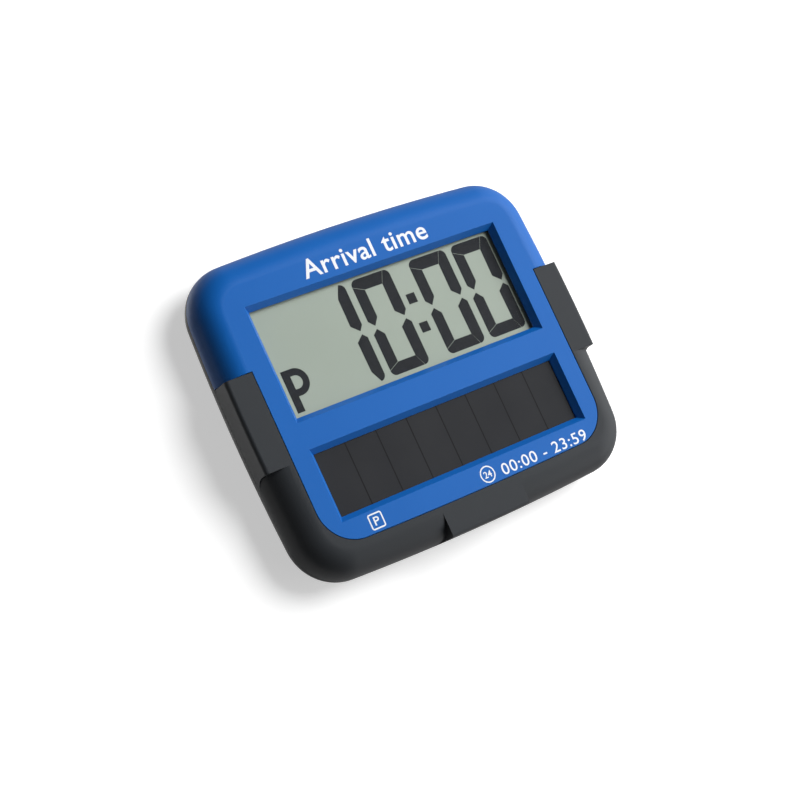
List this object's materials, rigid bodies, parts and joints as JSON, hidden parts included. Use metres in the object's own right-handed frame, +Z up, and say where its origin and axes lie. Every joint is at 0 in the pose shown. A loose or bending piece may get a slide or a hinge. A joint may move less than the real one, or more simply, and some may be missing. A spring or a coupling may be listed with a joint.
{
  "type": "electronic parking disc",
  "caption": "Solar electronic parking disc with a bevelled display window, solar strip, grey bezel with stick-on pads, sprung rear keys and a sliding cell door.",
  "frame": {"origin": "middle of the flat face that looks through the windscreen, half way between top and bottom", "axes": "-Y out of the face towards the reader, +Y to the back, +X to the reader's right, +Z up"},
  "size_m": [0.102, 0.0141, 0.084],
  "materials": {
    "blue_shell": "fine-textured moulded plastic, blue",
    "grey_bezel": "fine-textured moulded plastic, dark grey",
    "rear_plastic": "fine-textured moulded plastic, dark grey",
    "clear_lens": "clear, polished",
    "display_glass": "grey-green display glass with a matt polariser",
    "display_film": "grey-green reflector film",
    "white_plastic": "moulded white plastic",
    "contact_rubber": "layered elastomer",
    "solar_glass": "dark amorphous cells behind glass",
    "foam": "closed-cell foam",
    "ribbon_film": "polyimide film",
    "board_laminate": "green solder mask",
    "chip_epoxy": "black moulded epoxy",
    "can_aluminium": "satin can",
    "contact_brass": "sprung contact metal",
    "steel": "nickel-plated steel",
    "key_plastic": "moulded key plastic, grey"
  },
  "bodies": {
    "casing": {"front_shell": "blue_shell", "lower_bezel": "grey_bezel", "rear_cover": "rear_plastic", "display_lens": "clear_lens", "lcd_front_glass": "display_glass", "lcd_rear_glass": "display_glass", "lcd_reflector": "display_film", "lcd_carrier": "white_plastic", "zebra_strip": "contact_rubber", "solar_panel": "solar_glass", "solar_foam": "foam", "solar_ribbon": "ribbon_film", "main_pcb": "board_laminate", "pcb_screws": "steel", "case_screws": "steel", "microcontroller": "chip_epoxy", "motion_sensor": "chip_epoxy", "quartz_crystal": "steel", "storage_capacitor": "can_aluminium", "chip_resistors": "chip_epoxy", "negative_contacts": "contact_brass", "positive_contact": "contact_brass", "coin_cell_left": "steel", "coin_cell_right": "steel", "switch_case_left": "chip_epoxy", "switch_case_middle": "chip_epoxy", "switch_case_right": "chip_epoxy"},
    "battery_door": {"battery_door": "rear_plastic"},
    "key_left": {"key_left": "key_plastic", "switch_plunger_left": "key_plastic"},
    "key_middle": {"key_middle": "key_plastic", "switch_plunger_middle": "key_plastic"},
    "key_right": {"key_right": "key_plastic", "switch_plunger_right": "key_plastic"}
  },
  "joints": [
    {"name": "door_slide", "type": "slide", "parent": "casing", "child": "battery_door", "axis": [0, 0, -1], "range_m": [0, 0.0313]},
    {"name": "key_left_press", "type": "slide", "parent": "casing", "child": "key_left", "axis": [0, -1, 0], "range_m": [0, 0.00035], "stiffness_N_per_m": 1200, "springref_m": -0.0002},
    {"name": "key_middle_press", "type": "slide", "parent": "casing", "child": "key_middle", "axis": [0, -1, 0], "range_m": [0, 0.00035], "stiffness_N_per_m": 1200, "springref_m": -0.0002},
    {"name": "key_right_press", "type": "slide", "parent": "casing", "child": "key_right", "axis": [0, -1, 0], "range_m": [0, 0.00035], "stiffness_N_per_m": 1200, "springref_m": -0.0002}
  ]
}
